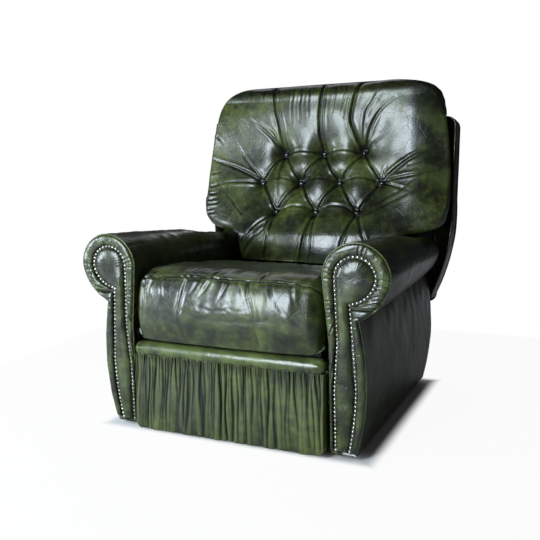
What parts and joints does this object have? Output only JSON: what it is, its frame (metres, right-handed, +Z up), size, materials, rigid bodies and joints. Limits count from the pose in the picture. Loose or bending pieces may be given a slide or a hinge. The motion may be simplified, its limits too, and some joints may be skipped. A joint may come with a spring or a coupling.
{
  "type": "recliner",
  "caption": "Scroll-arm reclining armchair in dark green leather with a buttoned back, nailed arm facings and a gathered footrest that swings out as the seat glides forwards.",
  "frame": {"origin": "middle of the overall box, on the floor", "axes": "+Z up, -Y towards the way the chair faces, +X to the viewer's right as they face it"},
  "size_m": [0.976, 0.9912, 1.0478],
  "materials": {
    "green_leather": "gloss",
    "nickel_nail": "polished",
    "dark_button": "gloss",
    "timber": "sawn",
    "black_plastic": "matte",
    "spring_steel": "oiled",
    "zinc_steel": "satin"
  },
  "bodies": {
    "base": {"left_arm_pad": "green_leather", "right_arm_pad": "green_leather", "left_arm_frame": "timber", "right_arm_frame": "timber", "left_facing_board": "timber", "right_facing_board": "timber", "left_facing_panel": "green_leather", "right_facing_panel": "green_leather", "left_facing_border": "green_leather", "right_facing_border": "green_leather", "left_outer_strip": "green_leather", "right_outer_strip": "green_leather", "left_facing_nails": "nickel_nail", "right_facing_nails": "nickel_nail", "base_side_plates": "zinc_steel", "base_plate_screws": "zinc_steel", "base_pivot_pins": "zinc_steel", "base_cross_rails": "timber", "rear_panel": "green_leather", "floor_glides": "black_plastic"},
    "front_glide": {"front_glide_links": "zinc_steel"},
    "rear_glide": {"rear_glide_links": "zinc_steel"},
    "seat": {"seat_side_plates": "zinc_steel", "seat_pivot_pins": "zinc_steel", "seat_side_rails": "timber", "seat_cross_rails": "timber", "seat_spacers": "zinc_steel", "seat_bolts": "zinc_steel", "seat_springs": "spring_steel", "seat_cushion": "green_leather"},
    "lift": {"lift_links": "zinc_steel", "lift_cross_tube": "zinc_steel", "lift_link_pins": "zinc_steel"},
    "rear_lift": {"rear_lift_links": "zinc_steel"},
    "long": {"long_links": "zinc_steel", "long_link_pins": "zinc_steel"},
    "guide": {"guide_links": "zinc_steel"},
    "footrest": {"footrest_brackets": "zinc_steel", "footrest_bracket_pins": "zinc_steel", "footrest_board": "timber", "footrest_bracket_screws": "zinc_steel", "footrest_roll": "green_leather", "footrest_pad": "green_leather"},
    "back": {"back_posts": "timber", "back_rails": "timber", "outer_back": "green_leather", "back_side_band": "green_leather", "back_nails": "nickel_nail", "back_brackets": "zinc_steel", "back_springs": "spring_steel", "back_cushion": "green_leather", "back_buttons": "dark_button"}
  },
  "joints": [
    {"name": "seat_glide", "type": "hinge", "parent": "base", "child": "front_glide", "pos_m": [0, -0.337, 0.23], "axis": [-1, 0, 0], "range_deg": [0, 35]},
    {"name": "seat_level", "type": "hinge", "parent": "front_glide", "child": "seat", "pos_m": [0, -0.337, 0.1], "axis": [-1, 0, 0], "range_deg": [-35, 0]},
    {"name": "rear_glide_swing", "type": "hinge", "parent": "base", "child": "rear_glide", "pos_m": [0, 0.103, 0.23], "axis": [-1, 0, 0], "range_deg": [0, 35]},
    {"name": "footrest_lift", "type": "hinge", "parent": "seat", "child": "lift", "pos_m": [0, -0.307, 0.27], "axis": [-1, 0, 0], "range_deg": [0, 85]},
    {"name": "rear_lift_swing", "type": "hinge", "parent": "seat", "child": "rear_lift", "pos_m": [0, -0.25844, 0.23046], "axis": [-1, 0, 0], "range_deg": [0, 85]},
    {"name": "long_swing", "type": "hinge", "parent": "lift", "child": "long", "pos_m": [0, -0.22275, 0.09683], "axis": [-1, 0, 0], "range_deg": [-85, 0]},
    {"name": "guide_swing", "type": "hinge", "parent": "lift", "child": "guide", "pos_m": [0, -0.2, 0.05007], "axis": [-1, 0, 0], "range_deg": [-85, 0]},
    {"name": "footrest_turn", "type": "hinge", "parent": "long", "child": "footrest", "pos_m": [0, -0.417, 0.255], "axis": [-1, 0, 0], "range_deg": [0, 85]},
    {"name": "back_recline", "type": "hinge", "parent": "base", "child": "back", "pos_m": [0, 0.343, 0.3], "axis": [-1, 0, 0], "range_deg": [0, 30]}
  ],
  "couplings": [
    {"joint": "seat_level", "follows": "seat_glide", "ratio": -1},
    {"joint": "rear_glide_swing", "follows": "seat_glide", "ratio": 1},
    {"joint": "footrest_lift", "follows": "seat_glide", "ratio": 2.4286},
    {"joint": "rear_lift_swing", "follows": "seat_glide", "ratio": 2.4286},
    {"joint": "long_swing", "follows": "seat_glide", "ratio": -2.4286},
    {"joint": "guide_swing", "follows": "seat_glide", "ratio": -2.4286},
    {"joint": "footrest_turn", "follows": "seat_glide", "ratio": 2.4286}
  ]
}
